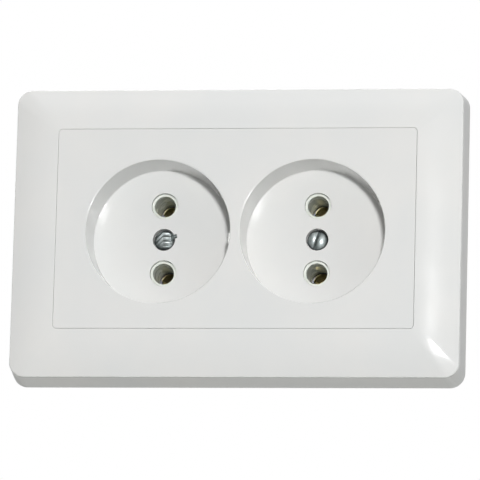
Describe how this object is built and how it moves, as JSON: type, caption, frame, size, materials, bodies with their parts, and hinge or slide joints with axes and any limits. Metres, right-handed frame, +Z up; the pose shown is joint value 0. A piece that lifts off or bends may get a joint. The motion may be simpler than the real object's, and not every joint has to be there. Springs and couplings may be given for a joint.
{
  "type": "double wall socket",
  "caption": "Flush wall socket for round two-pole plugs: domed surround, flat cover with two round wells, contact base behind.",
  "frame": {"origin": "midway between the two socket centres, in the plane of the wall", "axes": "+X to the right as seen from the room, +Y into the wall, +Z up"},
  "size_m": [0.1258, 0.037, 0.0828],
  "materials": {
    "white_plastic": "glossy moulded",
    "ceramic": "glazed",
    "zinc_steel": "zinc plated",
    "spring_steel": "plain spring steel",
    "brass": "rolled",
    "cover_board": "matt"
  },
  "bodies": {
    "root": {"surround_frame": "white_plastic", "centre_cover": "white_plastic", "mounting_plate": "zinc_steel", "contact_base": "ceramic", "rear_cover": "cover_board", "cover_screw_left": "zinc_steel", "cover_nut_left": "zinc_steel", "rear_cover_screw_left": "zinc_steel", "cover_screw_right": "zinc_steel", "cover_nut_right": "zinc_steel", "rear_cover_screw_right": "zinc_steel", "contact_bar_upper": "brass", "grip_spring_upper_left": "spring_steel", "plate_rivet_upper_left": "brass", "terminal_screw_upper_left": "zinc_steel", "clamp_plate_upper_left": "zinc_steel", "grip_spring_upper_right": "spring_steel", "plate_rivet_upper_right": "brass", "terminal_screw_upper_right": "zinc_steel", "clamp_plate_upper_right": "zinc_steel", "contact_bar_lower": "brass", "grip_spring_lower_left": "spring_steel", "plate_rivet_lower_left": "brass", "terminal_screw_lower_left": "zinc_steel", "clamp_plate_lower_left": "zinc_steel", "grip_spring_lower_right": "spring_steel", "plate_rivet_lower_right": "brass", "terminal_screw_lower_right": "zinc_steel", "clamp_plate_lower_right": "zinc_steel"}
  },
  "joints": []
}
